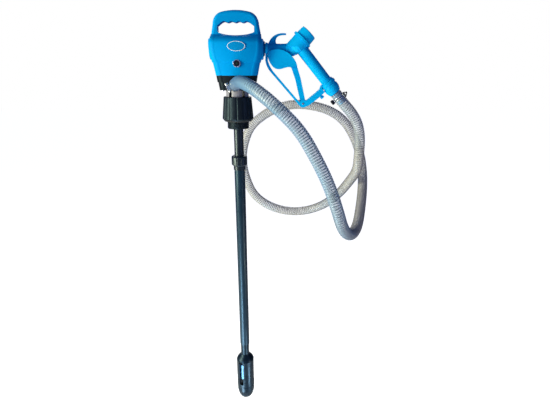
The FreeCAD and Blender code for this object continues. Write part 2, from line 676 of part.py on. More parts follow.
def nozzle_body():
    """The valve chamber and the hollow grip, in one moulding."""
    profile = [(0, 26.0), (23.4, 26.0), (23.4, 44.0), (20.5, 51.0), (14.5, 58.0), (12.5, 64.0), (10.5, 69.0),
               (6.0, 71.5), (0, 71.5)]
    chamber = along(turned(profile), CAP_TOP, VALVE_WAY)
    shoulder = valve_axis(23.4, 40.0, 59.0).common(block((100, -30, SPOUT_Z + 4), (220, 30, 260)))
    stub = Part.makeCone(12.6, 15.5, 30.0, V(SPOUT_END + 0.05, 0, SPOUT_Z), X_AXIS)
    grip = along(Part.makeCone(15.4, GRIP_R, GRIP_LENGTH + 12, V(0, 0, -12)), GRIP_TOP, GRIP_WAY)
    solid = joined([chamber, shoulder, stub, grip])
    cuts = [
        valve_axis(30.0, -5.0, 25.95),
        valve_axis(17.5, 25.0, 44.0),
        valve_axis(8.0, 40.0, 58.0),
        valve_axis(3.0 + FIT, 50.0, 80.0),
        Part.makeCylinder(SPOUT_R - 2.2, 36.0, V(SPOUT_END - 1, 0, SPOUT_Z), X_AXIS),
        grip_axis(11.0, 2.0, GRIP_LENGTH + 1),
    ]
    return solid.cut(cuts)


def valve_cap():
    """The screwed cap over the valve spring, with a rim and a small stop on it."""
    outline = [(0, -2.0), (20.5, -2.0), (21.8, -0.5), (23.0, 19.0), (26.0, 19.6), (26.0, 25.9), (17.0, 25.9),
               (17.0, 3.0), (0, 3.0)]
    cap = along(turned(outline), CAP_TOP, VALVE_WAY)
    stop = along(Part.makeCylinder(2.0, 5.5, V(25.6, 0, 20.0)), CAP_TOP, VALVE_WAY)
    return cap.fuse(stop).removeSplitter()


def valve_disc():
    return valve_axis(14.0, 32.0, 36.0).cut(valve_axis(3.0, 30.0, 40.0))


def valve_stem():
    return valve_axis(3.0, 30.0, STEM_END)


def valve_spring():
    """The closing spring, as the tube that its coils fill."""
    return valve_axis(9.5, 3.2, 29.5).cut(valve_axis(7.0, 3.0, 30.0))


def inlet_collar():
    """The ring and nut that hold the hose barb on the grip."""
    outline = [(11.0, GRIP_LENGTH + FIT), (18.4, GRIP_LENGTH + FIT), (20.2, GRIP_LENGTH + 2),
               (20.2, GRIP_LENGTH + 8), (18.6, GRIP_LENGTH + 10.5), (18.6, GRIP_LENGTH + 12),
               (20.0, GRIP_LENGTH + 15), (20.2, GRIP_LENGTH + 24), (16.4, INLET_LENGTH), (11.0, INLET_LENGTH)]
    return along(turned(outline), GRIP_TOP, GRIP_WAY)


def hose_barb():
    inside = grip_axis(11.0 - FIT, GRIP_LENGTH + 6, INLET_LENGTH + 2)
    spigot = grip_axis(BARB_R - 0.8, INLET_LENGTH + FIT, NOZZLE_BARB_END)
    barbs = [along(Part.makeCone(BARB_R - 1.2, BARB_R, 7.0, V(0, 0, NOZZLE_HOSE_END + 5 + 9 * i)), GRIP_TOP,
                   GRIP_WAY) for i in range(3)]
    return joined([inside, spigot] + barbs).cut(grip_axis(8.0, 80, 200))


def nozzle_clamp():
    """Two turns of spring wire around the hose."""
    turns = [along(Part.makeTorus(HOSE_R + 1.15, 1.1, V(0, 0, CLAMP_AT + 6 * i)), GRIP_TOP, GRIP_WAY)
             for i in range(2)]
    bridge = Part.makeBox(1.8, 6, 10, V(HOSE_R + 0.6, -3, CLAMP_AT - 2))
    lug = Part.makeBox(1.8, 6, 10, V(-HOSE_R - 2.4, -3, CLAMP_AT - 2))
    lug.rotate(V(0, 0, 0), Z_AXIS, WING_TURN)
    return joined(turns + [along(b, GRIP_TOP, GRIP_WAY) for b in (bridge, lug)])


def nozzle_clamp_screw():
    """The thumb wing on one side of the clamp and its nut on the other."""
    foot = -HOSE_R - 2.45
    far = foot - 9.5
    outline = [(foot, CLAMP_AT - 3), (far, CLAMP_AT + 2), (far, CLAMP_AT + 6), (foot, CLAMP_AT + 14)]
    hole = Part.makeCylinder(2.4, 10, V(foot - 4.6, -5, CLAMP_AT + 4.5), Y_AXIS)
    wing = plate(lines(outline + outline[:1]), 2.2).cut(hole)
    wing.rotate(V(0, 0, 0), Z_AXIS, WING_TURN)
    nut = Part.makeBox(7.5, 9, 12, V(HOSE_R + 2.45, -4.5, CLAMP_AT - 3))
    nut = nut.makeChamfer(1.5, [e for e in nut.Edges if e.BoundBox.XMin > HOSE_R + 9])
    return Part.makeCompound([along(s, GRIP_TOP, GRIP_WAY) for s in (wing, nut)])


def by_grip(t, r):
    """The (x, z) of a point t down the grip and r out from its axis, on the trigger's side."""
    at = GRIP_TOP + GRIP_WAY * t + V(GRIP_WAY.z, 0, -GRIP_WAY.x) * r
    return at.x, at.z


def nozzle_guard():
    """The flat strip that guards the trigger, from the spout down to the pivot and up to the inlet."""
    outer = [(77.0, 158), (81.7, 142.8), (90.3, 129.8)]
    inner = [(98.0, 130.4), (89.0, 144.4), (83.6, 158)]
    heel_top = GRIP_LENGTH - 4
    heel_low = GRIP_LENGTH - FIT
    collar_side = 20.7
    below = [outer[-1], (170.0, 41.2), (175.0, 37.5), (183.0, 37.3), (195.8, 43.2), (222.4, 63.0),
             by_grip(117.5, collar_side), by_grip(heel_low, collar_side), by_grip(heel_low, 15.5),
             by_grip(heel_top, 15.5), by_grip(heel_top, 19.0), (224.0, 84.9), (189.8, 56.2), (181.0, 56.0),
             (170.0, 50.3), inner[0]]
    edges = lines([(77.2, 176), outer[0]]) + [curve(outer)] + lines(below) + [curve(inner)]
    edges += lines([inner[-1], (83.4, 176), (77.2, 176)])
    strip = plate(edges, GUARD_HALF)
    clip = Part.makeCone(SPOUT_R + 4.2, SPOUT_R + 1.8, 7.0, V(77.5, 0, SPOUT_Z), X_AXIS)
    ears = across(9.6, LEVER_PIVOT.x, LEVER_PIVOT.z, -GUARD_HALF, GUARD_HALF)
    heel = along(rod(17.4, heel_top, heel_low), GRIP_TOP, GRIP_WAY)
    slot = [
        across(8.4, LEVER_PIVOT.x, LEVER_PIVOT.z, -LEVER_ARM - 0.4, LEVER_ARM + 0.4),
        plate(lines([(172, 47), (186.5, 47), (196, 78), (160, 78), (172, 47)]), LEVER_ARM + 0.4),
    ]
    rest = [
        Part.makeCylinder(SPOUT_R + FIT, 20, V(70, 0, SPOUT_Z), X_AXIS),
        across(LEVER_PIN_R + 0.02, LEVER_PIVOT.x, LEVER_PIVOT.z, -20, 20),
        grip_axis(GRIP_R + 0.35, 60, GRIP_LENGTH + 3),
    ]
    return joined([strip, clip, ears, heel]).cut(slot + rest)


def guard_peg():
    """The small latch peg under the guard."""
    way = V(0.707, 0, -0.707)
    seat = V(227.8, 0, 67.8)
    return along(joined([rod(3.8, 0.2, 5.0), rod(5.0, 3.0, 8.5)]), seat, way)


# The trigger's broad finger lobe, seen from the side.
LEVER_LOBE = [(161.2, 144.5), (156.6, 156.5), (149.1, 166.6), (138.3, 176.2), (120.6, 184.2), (102.9, 185.6),
              (89.5, 181.5), (84.4, 174.2), (85.6, 160.5), (92.2, 148.3), (102.5, 138.6), (117.3, 136.8),
              (131.5, 140.6), (146.2, 140.6)]


def nozzle_lever():
    """The trigger: a hollow finger lobe that straddles the spout, over a long arm."""
    arm = [(146.2, 140.6), (157.5, 110.0), (171.0, 57.0), (172.0, 47.0), (186.0, 47.0), (184.5, 59.0),
           (172.0, 112.0), (161.2, 144.5)]
    lobe = plate([curve(LEVER_LOBE)] + lines([LEVER_LOBE[-1], LEVER_LOBE[0]]), LEVER_CHEEK)
    end = across(7.0, LEVER_PIVOT.x, LEVER_PIVOT.z, -LEVER_ARM, LEVER_ARM)
    bar = plate(lines(arm + arm[:1]), LEVER_ARM)
    pocket = [(104.5, 141.5), (117.3, 140.0), (131.5, 143.6), (152.0, 143.6), (164.0, 146.0), (164.0, 195.0),
              (75.0, 195.0), (75.0, 156.0), (92.0, 156.0)]
    hollow = plate(lines(pocket + pocket[:1]), LEVER_INSIDE)
    eye = across(LEVER_PIN_R + FIT, LEVER_PIVOT.x, LEVER_PIVOT.z, -20, 20)
    solid = joined([lobe, bar, end])
    return solid.cut([hollow, eye])


def lever_pin():
    return across(LEVER_PIN_R, LEVER_PIVOT.x, LEVER_PIVOT.z, -GUARD_HALF - 1, GUARD_HALF + 1)


# ---- hose ---------------------------------------------------------------------------------------------
def hose_route():
    """Every point of the hose's route, from the outlet's spigot to the nozzle's barb."""
    inlet = GRIP_TOP + GRIP_WAY * NOZZLE_HOSE_END
    before_inlet = inlet + GRIP_WAY * HOSE_LAST_RUN
    outlet = ELBOW + OUTLET_WAY * HOSE_START
    middle = [V(*p) for p in HOSE_ROUTE_HEAD + [HOSE_CUT_LOW, HOSE_CUT_TOP] + HOSE_ROUTE_NOZZLE]
    return [outlet, outlet + OUTLET_WAY * HOSE_FIRST_RUN] + middle + [before_inlet, inlet]


def route_steps(at):
    """The route as straight runs with a tangent turn at each inner point. Prints the radii of the turns."""
    steps = []
    radii = []
    here = at[0]
    for before, corner, after in zip(at, at[1:], at[2:]):
        inward = (corner - before).normalize()
        outward = (after - corner).normalize()
        turn = inward.getAngle(outward)
        back = 0.45 * min(corner.distanceToPoint(before), corner.distanceToPoint(after))
        radius = back / math.tan(turn / 2)
        start = corner - inward * back
        axis = inward.cross(outward).normalize()
        steps.append({"kind": "run", "from": here, "move": start - here,
                      "length": here.distanceToPoint(start)})
        steps.append({"kind": "turn", "centre": start + axis.cross(inward) * radius, "axis": axis,
                      "angle": math.degrees(turn), "length": turn * radius})
        radii.append(round(radius))
        here = corner + outward * back
    steps.append({"kind": "run", "from": here, "move": at[-1] - here, "length": here.distanceToPoint(at[-1])})
    print("hose radii", radii)
    return steps


def cut_steps(steps):
    """Divides the steps in two where the hose leaves the head's part for the nozzle's part."""
    runs = [i for i, s in enumerate(steps) if s["kind"] == "run"]
    cut = runs[2 + len(HOSE_ROUTE_HEAD)]
    whole = steps[cut]
    half = dict(whole, move=whole["move"] * 0.5, length=whole["length"] / 2)
    rest = dict(half, **{"from": whole["from"] + half["move"]})
    return steps[:cut] + [half], [rest] + steps[cut + 1:]


def swept_faces(circle, steps):
    """The skin that a circle leaves as it follows the steps, and the circle where it stops."""
    faces = []
    for step in steps:
        following = circle.copy()
        if step["kind"] == "run":
            faces.append(circle.extrude(step["move"]))
            following.translate(step["move"])
        else:
            faces.append(circle.revolve(step["centre"], step["axis"], step["angle"]))
            following.rotate(step["centre"], step["axis"], step["angle"])
        circle = following
    return faces, circle


def swept_rod(r, steps):
    """A solid rod of radius r along the steps."""
    first = Part.Circle(steps[0]["from"], steps[0]["move"], r).toShape()
    skin, last = swept_faces(first, steps)
    shell = Part.Shell(skin + [Part.Face(Part.Wire([edge])) for edge in (first, last)])
    shell.sewShape()
    solid = Part.Solid(Part.Shell(shell.Faces))
    if solid.Volume < 0:
        solid.reverse()
    return solid


def hose_tube(steps, name):
    """A hollow tube along the steps. Prints its length and its volume against section times length."""
    tube = swept_rod(HOSE_R, steps).cut(swept_rod(HOSE_BORE, steps))
    length = sum(s["length"] for s in steps)
    ideal = math.pi * (HOSE_R ** 2 - HOSE_BORE ** 2) * length
    print(name, "length", round(length), "volume/ideal", round(tube.Volume / ideal, 4))
    return tube


def hose_main():
    return hose_tube(cut_steps(route_steps(hose_route()))[0], "hose_main")


def hose_nozzle_end():
    return hose_tube(cut_steps(route_steps(hose_route()))[1], "hose_nozzle_end")


def outlet_clamp_band():
    return worm_band(ELBOW, OUTLET_WAY, HOSE_START + 4, OUTLET_CLAMP_TURN)


def outlet_clamp_screw():
    return worm_screw(ELBOW, OUTLET_WAY, HOSE_START + 4, OUTLET_CLAMP_TURN)


PARTS = [
    front_shell, rear_shell, shell_screws, badge_plate, button_bezel, power_button, button_lamp,
    battery_pack, control_board, charge_socket, motor_can, motor_rotor, shaft_coupler, base_housing,
    base_screws, shaft_seal, outlet_elbow, outlet_clamp_band, outlet_clamp_screw, neck_collar, bung_nut,
    bung_thread, bung_gasket, upper_tube, tube_seal, lock_collar, tube_collet, lock_ring, lower_tube,
    upper_shaft, lower_shaft, foot_bearing, impeller, foot_strainer, foot_sleeve, foot_cap, nozzle_holder,
    nozzle_spout, nozzle_body, valve_cap, valve_disc, valve_stem, valve_spring, inlet_collar, hose_barb,
    nozzle_clamp, nozzle_clamp_screw, nozzle_guard, guard_peg, nozzle_lever, lever_pin, hose_main,
    hose_nozzle_end,
]


def main():
    os.makedirs("parts", exist_ok=True)
    for make in PARTS:
        shape = make()
        solids = len(shape.Solids)
        if not shape.isValid() or not solids:
            print("CHECK", make.__name__, "valid", shape.isValid(), "solids", solids)
        elif solids > 1:
            print(make.__name__, "has", solids, "solids")
        shape.exportStep(os.path.join("parts", make.__name__ + ".step"))


main()
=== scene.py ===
"""Looks for the battery drum barrel pump, in metres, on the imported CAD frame.

Each CAD node keeps its shape and gets a procedural material. The clear hose with its steel wire, the pipe
thread and the badge's outline are built here.
"""

import math

import bpy
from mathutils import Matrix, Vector


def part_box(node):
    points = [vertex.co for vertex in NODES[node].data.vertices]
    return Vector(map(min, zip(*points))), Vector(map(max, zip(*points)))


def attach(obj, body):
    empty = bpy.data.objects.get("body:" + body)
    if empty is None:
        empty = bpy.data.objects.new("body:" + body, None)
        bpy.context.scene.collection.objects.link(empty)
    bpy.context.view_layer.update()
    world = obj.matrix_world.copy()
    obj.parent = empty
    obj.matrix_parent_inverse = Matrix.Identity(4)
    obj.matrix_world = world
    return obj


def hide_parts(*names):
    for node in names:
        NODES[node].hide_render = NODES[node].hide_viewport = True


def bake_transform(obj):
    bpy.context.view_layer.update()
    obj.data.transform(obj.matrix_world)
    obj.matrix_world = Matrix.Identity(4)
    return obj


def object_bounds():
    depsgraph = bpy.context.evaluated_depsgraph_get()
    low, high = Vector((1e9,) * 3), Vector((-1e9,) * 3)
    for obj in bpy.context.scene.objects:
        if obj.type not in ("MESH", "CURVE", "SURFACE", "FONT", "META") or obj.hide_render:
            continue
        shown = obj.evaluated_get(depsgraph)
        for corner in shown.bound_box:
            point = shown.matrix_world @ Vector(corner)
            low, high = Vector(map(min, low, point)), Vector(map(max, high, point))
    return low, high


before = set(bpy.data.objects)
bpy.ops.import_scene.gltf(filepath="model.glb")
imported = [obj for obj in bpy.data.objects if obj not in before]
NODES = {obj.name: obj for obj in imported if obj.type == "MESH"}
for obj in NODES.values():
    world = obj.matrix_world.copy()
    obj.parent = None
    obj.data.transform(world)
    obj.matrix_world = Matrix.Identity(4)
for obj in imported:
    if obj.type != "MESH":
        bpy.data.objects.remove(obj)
cad_low, cad_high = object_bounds()

# ---- sizes ----------------------------------------------------------------------------------------------
HOSE_R = 0.015
HOSE_BORE = 0.0125
HOSE_SIDES = 26
HOSE_RIDGE = 0.00025       # height of the skin over the wire
WIRE_PITCH = 0.0064
WIRE_R = 0.0008
WIRE_STEPS = 16            # points in a turn of the wire
WIRE_SIDES = 6
RIDGE_STEPS = 6            # rings of the skin in a turn of the wire
HOSE_STEP = 0.006          # between the points of the hose's line
HOSE_CUT_Z = -0.078        # where the nozzle's length of hose begins, on the strand below the nozzle
THREAD_CREST = 0.0298
THREAD_ROOT = 0.0284
THREAD_BORE = 0.021
THREAD_PITCH = 0.00231
THREAD_LOW = -0.020
THREAD_HIGH = 0.0
THREAD_SIDES = 72
THREAD_STEPS = 6           # rings in a turn of the thread
THREAD_LEAD = 0.003        # height over which the lowest turns grow to full depth
THREAD_CUT = 0.0008        # how far below the collar's end that growth starts
RELIEF_R = 0.0286          # the undercut above the thread
RELIEF_HIGH = 0.0035
NECK_BORE = 0.03085
NUT_INSIDE_TOP = 0.0335
BADGE_OUT = (0.0228, 0.0120)           # half width and half height of the badge's outline, outside
BADGE_IN = (0.0214, 0.0106)            # and inside
BADGE_LIFT = 0.00035
BADGE_STEPS = 96
FLOOR_SIZE = 12.0
BRIGHT_SIDE = (-0.62, -0.52, -0.58)    # the way to the brightest light
FLOOR_DROP = 0.26                      # room for the suction tube let right out
PAINTED_TINT_SIDE = (0.0, 1.0, -0.88)         # the way the hose's painted tint turns from bluish to smoky

# The hose's route, the same points as the solid's, as a smooth spline's control points.
HOSE_ROUTE = [
    (0.000, -0.072, 0.098), (0.010, -0.118, 0.107), (0.024, -0.165, 0.110), (0.050, -0.204, 0.101),
    (0.084, -0.231, 0.078), (0.121, -0.244, 0.047), (0.162, -0.240, 0.004), (0.198, -0.243, -0.057),
    (0.227, -0.249, -0.114), (0.248, -0.256, -0.173), (0.268, -0.236, -0.233), (0.298, -0.186, -0.270),
    (0.330, -0.110, -0.275), (0.356, -0.016, -0.251), (0.377, 0.069, -0.221), (0.388, 0.133, -0.183),
    (0.386, 0.174, -0.136), (0.369, 0.198, -0.083), (0.335, 0.206, -0.028), (0.287, 0.214, 0.006),
    (0.228, 0.222, 0.022), (0.170, 0.222, 0.027), (0.115, 0.228, 0.016), (0.066, 0.238, -0.009),
    (0.020, 0.239, -0.047), (-0.004, 0.240, -0.104), (-0.013, 0.240, -0.166), (0.000, 0.230, -0.229),
    (0.026, 0.228, -0.290), (0.079, 0.227, -0.331), (0.146, 0.229, -0.353), (0.215, 0.226, -0.350),
    (0.276, 0.199, -0.317), (0.316, 0.140, -0.258), (0.337, 0.084, -0.199), (0.350, 0.037, -0.152),
    (0.347, 0.015, -0.105), (0.347, 0.015, -0.051), (0.336, 0.010, -0.008), (0.314, 0.002, 0.024),
    (0.2909, 0.0, 0.0473), (0.2677, 0.0, 0.0748),
]


# ---- node helpers ---------------------------------------------------------------------------------------
def new_material(name):
    material = bpy.data.materials.new(name)
    material.use_nodes = True
    tree = material.node_tree
    return material, tree, tree.nodes["Principled BSDF"]


def add(tree, kind, **settings):
    """A new node, with its named sockets or properties set."""
    node = tree.nodes.new(kind)
    for key, value in settings.items():
        if key in node.inputs:
            node.inputs[key].default_value = value
        else:
            setattr(node, key, value)
    return node


def noise(tree, scale, detail=4.0, roughness=0.5, stretch=(1, 1, 1)):
    place = add(tree, "ShaderNodeTexCoord")
    mapping = add(tree, "ShaderNodeMapping", Scale=stretch)
    texture = add(tree, "ShaderNodeTexNoise", Scale=scale, Detail=detail, Roughness=roughness)
    tree.links.new(place.outputs["Object"], mapping.inputs["Vector"])
    tree.links.new(mapping.outputs["Vector"], texture.inputs["Vector"])
    return texture.outputs["Fac"]


def spread(tree, factor, low, high, new_low, new_high):
    """Maps a factor from one span to another."""
    node = add(tree, "ShaderNodeMapRange")
    node.inputs["From Min"].default_value = low
    node.inputs["From Max"].default_value = high
    node.inputs["To Min"].default_value = new_low
    node.inputs["To Max"].default_value = new_high
    tree.links.new(factor, node.inputs["Value"])
    return node.outputs["Result"]


def blended(tree, factor, first, second):
    """A colour between two, by a factor. Each is a colour or another node's output."""
    node = add(tree, "ShaderNodeMix", data_type="RGBA")
    tree.links.new(factor, node.inputs["Factor"])
    for socket, value in ((node.inputs[6], first), (node.inputs[7], second)):
        if isinstance(value, bpy.types.NodeSocket):
            tree.links.new(value, socket)
        else:
            socket.default_value = value
    return node.outputs[2]


def bumped(tree, shader, height, strength, distance, base=None):
    bump = add(tree, "ShaderNodeBump", Strength=strength, Distance=distance)
    tree.links.new(height, bump.inputs["Height"])
    if base:
        tree.links.new(base, bump.inputs["Normal"])
    tree.links.new(bump.outputs["Normal"], shader.inputs["Normal"])


def linear(red, green, blue):
    """A screen colour, 0 to 255, as a linear one."""
    return tuple((c / 255 / 12.92) if c < 11 else ((c / 255 + 0.055) / 1.055) ** 2.4
                 for c in (red, green, blue)) + (1.0,)


def rounded(tree, radius):
    """The surface's direction with every sharp edge eased, and how near an edge it is."""
    bevel = add(tree, "ShaderNodeBevel", Radius=radius, samples=4)
    flat = add(tree, "ShaderNodeNewGeometry")
    dot = add(tree, "ShaderNodeVectorMath", operation="DOT_PRODUCT")
    tree.links.new(bevel.outputs["Normal"], dot.inputs[0])
    tree.links.new(flat.outputs["Normal"], dot.inputs[1])
    edge = spread(tree, dot.outputs["Value"], 1.0, 0.93, 0.0, 1.0)
    return bevel.outputs["Normal"], edge


def plastic(name, colour, pale, gloss=0.35, grain=900.0, depth=0.03, specular=0.5, tint=(1, 1, 1, 1)):
    """Moulded plastic: cloudy colour, eased edges rubbed paler, uneven gloss and a fine grain."""
    material, tree, shader = new_material(name)
    normal, edge = rounded(tree, 0.0006)
    cloud = spread(tree, noise(tree, 14.0, 3.0), 0.3, 0.7, 0.0, 0.35)
    body = blended(tree, cloud, colour, tuple(0.82 * c for c in colour[:3]) + (1.0,))
    rub = add(tree, "ShaderNodeMath", operation="MULTIPLY")
    tree.links.new(edge, rub.inputs[0])
    tree.links.new(spread(tree, noise(tree, 90.0), 0.35, 0.7, 0.0, 0.55), rub.inputs[1])
    tree.links.new(blended(tree, rub.outputs[0], body, pale), shader.inputs["Base Color"])
    tree.links.new(spread(tree, noise(tree, 45.0), 0.3, 0.7, gloss - 0.06, gloss + 0.10),
                   shader.inputs["Roughness"])
    shader.inputs["Specular IOR Level"].default_value = specular
    shader.inputs["Specular Tint"].default_value = tint
    bumped(tree, shader, noise(tree, grain, 2.0), depth, 0.0004, normal)
    return material


def metal(name, colour, gloss=0.25, stretch=(1, 1, 1), brushed=300.0, depth=0.05):
    """Metal with fine marks along its working and faint stains."""
    material, tree, shader = new_material(name)
    normal, _ = rounded(tree, 0.0003)
    shader.inputs["Metallic"].default_value = 1.0
    stain = spread(tree, noise(tree, 60.0), 0.35, 0.75, 0.0, 0.5)
    tree.links.new(blended(tree, stain, colour, tuple(0.7 * c for c in colour[:3]) + (1.0,)),
                   shader.inputs["Base Color"])
    marks = noise(tree, brushed, 3.0, 0.6, stretch)
    tree.links.new(spread(tree, marks, 0.3, 0.7, gloss - 0.08, gloss + 0.14), shader.inputs["Roughness"])
    bumped(tree, shader, marks, depth, 0.0003, normal)
    return material


def rubber(name, colour):
    material, tree, shader = new_material(name)
    normal, _ = rounded(tree, 0.0004)
    dust = spread(tree, noise(tree, 30.0), 0.45, 0.8, 0.0, 0.4)
    tree.links.new(blended(tree, dust, colour, tuple(min(1.0, 2.4 * c) for c in colour[:3]) + (1.0,)),
                   shader.inputs["Base Color"])
    shader.inputs["Roughness"].default_value = 0.7
    bumped(tree, shader, noise(tree, 1400.0, 2.0), 0.12, 0.0004, normal)
    return material


# ---- materials ------------------------------------------------------------------------------------------
COOL = (0.5, 0.78, 1.0, 1.0)              # tints of a moulding's reflections
FAINTLY_COOL = (0.7, 0.85, 1.0, 1.0)
BLUE = plastic("blue_moulding", linear(0, 145, 217), linear(10, 180, 240), gloss=0.42, specular=0.02)
# The nozzle's parts get a lighter copy of the blue moulding as painted light, for their brighter lit faces.
BLUE_PAINTED_LIT = plastic("blue_nozzle_painted_lit", linear(0, 172, 238), linear(20, 200, 250), gloss=0.36, specular=0.06)
# The nozzle holder gets a darker copy of the blue moulding as painted shade, for the shade it lies in beside
# the head.
BLUE_PAINTED_SHADE = plastic("blue_holder_painted_shade", linear(0, 84, 144), linear(20, 120, 180), gloss=0.4, specular=0.1)
BADGE = plastic("badge_blue", linear(0, 138, 204), linear(20, 160, 226), gloss=0.3, depth=0.02, specular=0.1)
BLACK = plastic("black_moulding", linear(19, 24, 29), linear(50, 62, 72), gloss=0.36, specular=0.26,
                tint=COOL)
BASE = plastic("base_moulding", linear(17, 20, 25), linear(44, 52, 60), gloss=0.45, specular=0.12, tint=COOL)
# The tubes' and the foot's blacks are tinted blue, most of all the lower tube's and the foot's, as a painted
# reflection of the blue around them.
TUBE = plastic("black_tube", linear(18, 25, 33), linear(50, 62, 74), gloss=0.32, grain=600.0, depth=0.008,
               tint=FAINTLY_COOL)
LOWER = plastic("lower_tube_black", linear(14, 34, 48), linear(50, 76, 94), gloss=0.32, grain=600.0,
                depth=0.008, tint=COOL)
FOOT = plastic("foot_black", linear(7, 18, 28), linear(44, 66, 84), gloss=0.3, specular=0.3, tint=COOL)
GREY = plastic("neck_grey", linear(138, 136, 148), linear(190, 190, 182), gloss=0.4)
BUTTON = plastic("button_black", linear(12, 13, 15), linear(40, 42, 45), gloss=0.2, depth=0.02)
PALE = plastic("pale_plastic", linear(214, 212, 204), linear(240, 240, 236), gloss=0.4)
BATTERY = plastic("battery_wrap", linear(52, 54, 60), linear(90, 92, 98), gloss=0.5)
BOARD = plastic("board_green", linear(22, 92, 58), linear(60, 140, 96), gloss=0.3)
STEEL = metal("steel", linear(214, 218, 222), gloss=0.26)
SLEEVE = metal("sleeve_steel", linear(104, 146, 176), gloss=0.45)
CHROME = metal("chrome", linear(226, 228, 232), gloss=0.12, brushed=120.0, depth=0.01)
SHAFT = metal("shaft_steel", linear(170, 174, 180), gloss=0.3, stretch=(1, 1, 0.05))
BRASS = metal("brass", linear(200, 166, 98), gloss=0.3)
RUBBER = rubber("seal_rubber", linear(24, 24, 26))


def lamp_material():
    """A small green lens, unlit."""
    material, tree, shader = new_material("lamp_green")
    glow = spread(tree, noise(tree, 500.0), 0.3, 0.7, 0.0, 1.0)
    tree.links.new(blended(tree, glow, linear(14, 44, 30), linear(30, 84, 56)), shader.inputs["Base Color"])
    shader.inputs["Roughness"].default_value = 0.15
    return material


def hose_material():
    """Clear hose: thinner in the middle, denser at its edges, with a painted tint by where it lies: bluish
    high in front, smoky low and behind.
    """
    material, tree, shader = new_material("clear_hose")
    place = add(tree, "ShaderNodeTexCoord")
    depth = add(tree, "ShaderNodeVectorMath", operation="DOT_PRODUCT")
    depth.inputs[1].default_value = PAINTED_TINT_SIDE
    tree.links.new(place.outputs["Object"], depth.inputs[0])
    behind = spread(tree, depth.outputs["Value"], -0.28, 0.12, 0.0, 1.0)
    # Painted tint by place, not the hose's own colour: bluish high in front, smoky low and behind, with a
    # random haze over it.
    haze = spread(tree, noise(tree, 9.0, 2.0), 0.35, 0.65, -0.2, 0.2)
    painted_tint = add(tree, "ShaderNodeMath", operation="ADD", use_clamp=True)
    tree.links.new(behind, painted_tint.inputs[0])
    tree.links.new(haze, painted_tint.inputs[1])
    clear = blended(tree, painted_tint.outputs[0], linear(158, 198, 228), linear(210, 206, 202))
    dense = blended(tree, painted_tint.outputs[0], linear(88, 132, 176), linear(160, 154, 150))
    edge = add(tree, "ShaderNodeLayerWeight", Blend=0.5)
    tree.links.new(blended(tree, spread(tree, edge.outputs["Facing"], 0.25, 0.8, 0.0, 1.0), clear, dense),
                   shader.inputs["Base Color"])
    tree.links.new(spread(tree, edge.outputs["Facing"], 0.1, 0.9, 0.25, 0.7), shader.inputs["Alpha"])
    shader.inputs["Roughness"].default_value = 0.3
    shader.inputs["IOR"].default_value = 1.55
    return material


LAMP = lamp_material()
HOSE = hose_material()
WIRE = metal("hose_wire", linear(78, 92, 108), gloss=0.6)
WHITE = plastic("badge_line", linear(226, 240, 250), linear(250, 250, 250), gloss=0.35)

NODE_MATERIALS = {
    # nozzle_spout takes the head's darker blue instead of the nozzle's, as painted shade for the shade it
    # lies in under the lever.
    BLUE: ["front_shell", "rear_shell", "outlet_elbow", "nozzle_spout"],
    BLUE_PAINTED_LIT: ["nozzle_body", "valve_cap", "inlet_collar", "hose_barb", "nozzle_guard",
                  "nozzle_lever", "guard_peg"],
    BADGE: ["badge_plate"],
    BLUE_PAINTED_SHADE: ["nozzle_holder"],
    BASE: ["base_housing", "charge_socket"],
    BLACK: ["bung_nut"],
    TUBE: ["upper_tube", "lock_collar", "lock_ring"],
    LOWER: ["lower_tube"],
    FOOT: ["foot_strainer", "foot_cap"],
    SLEEVE: ["foot_sleeve"],
    GREY: ["neck_collar", "tube_collet"],
    BUTTON: ["power_button", "nozzle_clamp_screw"],
    PALE: ["foot_bearing", "impeller"],
    BATTERY: ["battery_pack"],
    BOARD: ["control_board"],
    STEEL: ["shell_screws", "base_screws", "outlet_clamp_band", "outlet_clamp_screw", "nozzle_clamp",
            "lever_pin", "motor_can", "valve_spring"],
    CHROME: ["button_bezel"],
    SHAFT: ["motor_rotor", "upper_shaft", "lower_shaft", "valve_stem"],
    BRASS: ["shaft_coupler"],
    RUBBER: ["shaft_seal", "bung_gasket", "tube_seal", "valve_disc"],
    LAMP: ["button_lamp"],
}


def dress(obj, material):
    obj.data.materials.clear()
    obj.data.materials.append(material)


for material, names in NODE_MATERIALS.items():
    for name in names:
        dress(NODES[name], material)


# ---- mesh helpers ---------------------------------------------------------------------------------------
def mesh_object(name, points, faces, material, smooth=True):
    mesh = bpy.data.meshes.new(name)
    mesh.from_pydata(points, [], faces)
    mesh.polygons.foreach_set("use_smooth", [smooth] * len(mesh.polygons))
    mesh.update()
    obj = bpy.data.objects.new(name, mesh)
    bpy.context.scene.collection.objects.link(obj)
    dress(obj, material)
    return obj


def strip_faces(rings, sides, closed_loop=False):
    """The quads between rings of points, each ring closed round."""
    faces = []
    last = rings if closed_loop else rings - 1
    for i in range(last):
        for j in range(sides):
            a = i * sides + j
            b = i * sides + (j + 1) % sides
            c = ((i + 1) % rings) * sides + (j + 1) % sides
            d = ((i + 1) % rings) * sides + j
            faces.append((a, b, c, d))
    return faces


# ---- camera and stage -----------------------------------------------------------------------------------
def make_camera():
    data = bpy.data.cameras.new("camera")
    data.sensor_width = 36.0
    data.lens = 26.18
    camera = bpy.data.objects.new("camera", data)
    camera.location = (0.1026, -1.133, 0.1447)
    camera.rotation_euler = (math.radians(90 - 19.3), 0, 0)
    bpy.context.scene.collection.objects.link(camera)
    bpy.context.scene.camera = camera


make_camera()


